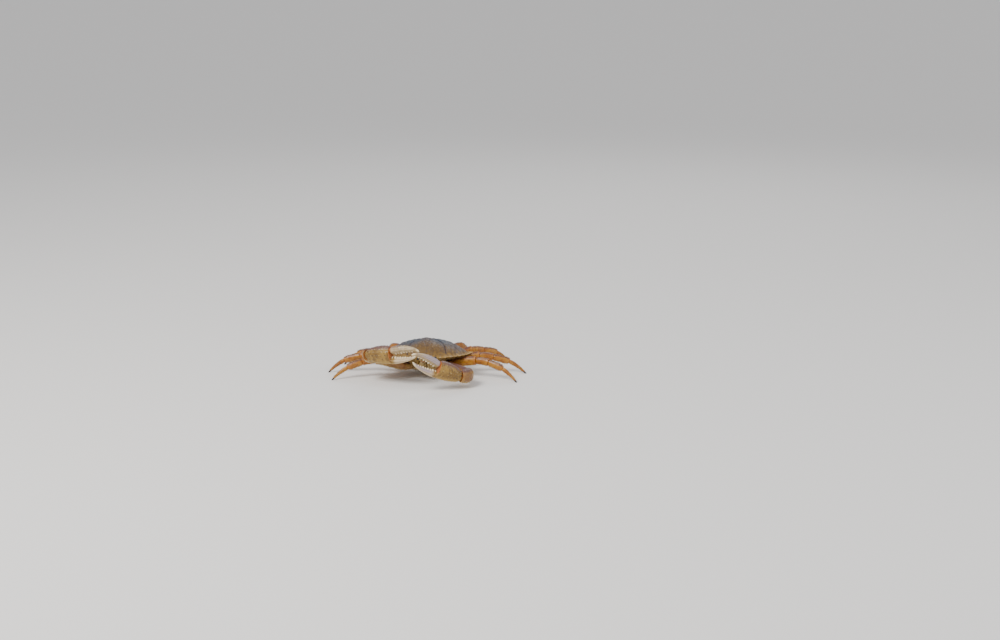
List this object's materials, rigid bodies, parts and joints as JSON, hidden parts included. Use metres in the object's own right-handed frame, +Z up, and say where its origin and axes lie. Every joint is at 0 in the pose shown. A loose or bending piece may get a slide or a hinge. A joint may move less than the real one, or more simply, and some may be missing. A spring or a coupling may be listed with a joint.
{
  "type": "dungeness crab",
  "caption": "Life-size still model of a dungeness crab standing on its walking legs, one claw raised half open and one low, both folded in front.",
  "frame": {"origin": "on the floor, under the middle of the crab's box", "axes": "the crab faces -Y, +X is its left side, +Z is up"},
  "size_m": [0.367, 0.2366, 0.076],
  "materials": {
    "carapace": "satin, finely grained",
    "belly": "satin",
    "eye": "glossy",
    "feeler": "satin",
    "mouth": "satin, with hair",
    "arm": "satin, finely grained",
    "palm": "satin, finely grained",
    "finger": "satin",
    "leg": "satin, with hair fringes"
  },
  "bodies": {
    "root": {"abdomen": "belly", "antenna_left": "feeler", "antenna_right": "feeler", "carapace": "carapace", "claw_left_base": "arm", "claw_left_carpus": "arm", "claw_left_finger": "finger", "claw_left_merus": "arm", "claw_left_palm": "palm", "claw_right_base": "arm", "claw_right_carpus": "arm", "claw_right_finger": "finger", "claw_right_merus": "arm", "claw_right_palm": "palm", "eye_left": "eye", "eye_right": "eye", "leg_left_1_base": "leg", "leg_left_1_carpus": "leg", "leg_left_1_dactyl": "leg", "leg_left_1_merus": "leg", "leg_left_1_propodus": "leg", "leg_left_2_base": "leg", "leg_left_2_carpus": "leg", "leg_left_2_dactyl": "leg", "leg_left_2_merus": "leg", "leg_left_2_propodus": "leg", "leg_left_3_base": "leg", "leg_left_3_carpus": "leg", "leg_left_3_dactyl": "leg", "leg_left_3_merus": "leg", "leg_left_3_propodus": "leg", "leg_left_4_base": "leg", "leg_left_4_carpus": "leg", "leg_left_4_dactyl": "leg", "leg_left_4_merus": "leg", "leg_left_4_propodus": "leg", "leg_right_1_base": "leg", "leg_right_1_carpus": "leg", "leg_right_1_dactyl": "leg", "leg_right_1_merus": "leg", "leg_right_1_propodus": "leg", "leg_right_2_base": "leg", "leg_right_2_carpus": "leg", "leg_right_2_dactyl": "leg", "leg_right_2_merus": "leg", "leg_right_2_propodus": "leg", "leg_right_3_base": "leg", "leg_right_3_carpus": "leg", "leg_right_3_dactyl": "leg", "leg_right_3_merus": "leg", "leg_right_3_propodus": "leg", "leg_right_4_base": "leg", "leg_right_4_carpus": "leg", "leg_right_4_dactyl": "leg", "leg_right_4_merus": "leg", "leg_right_4_propodus": "leg", "maxilliped_left": "mouth", "maxilliped_right": "mouth", "thorax": "belly"}
  },
  "joints": []
}
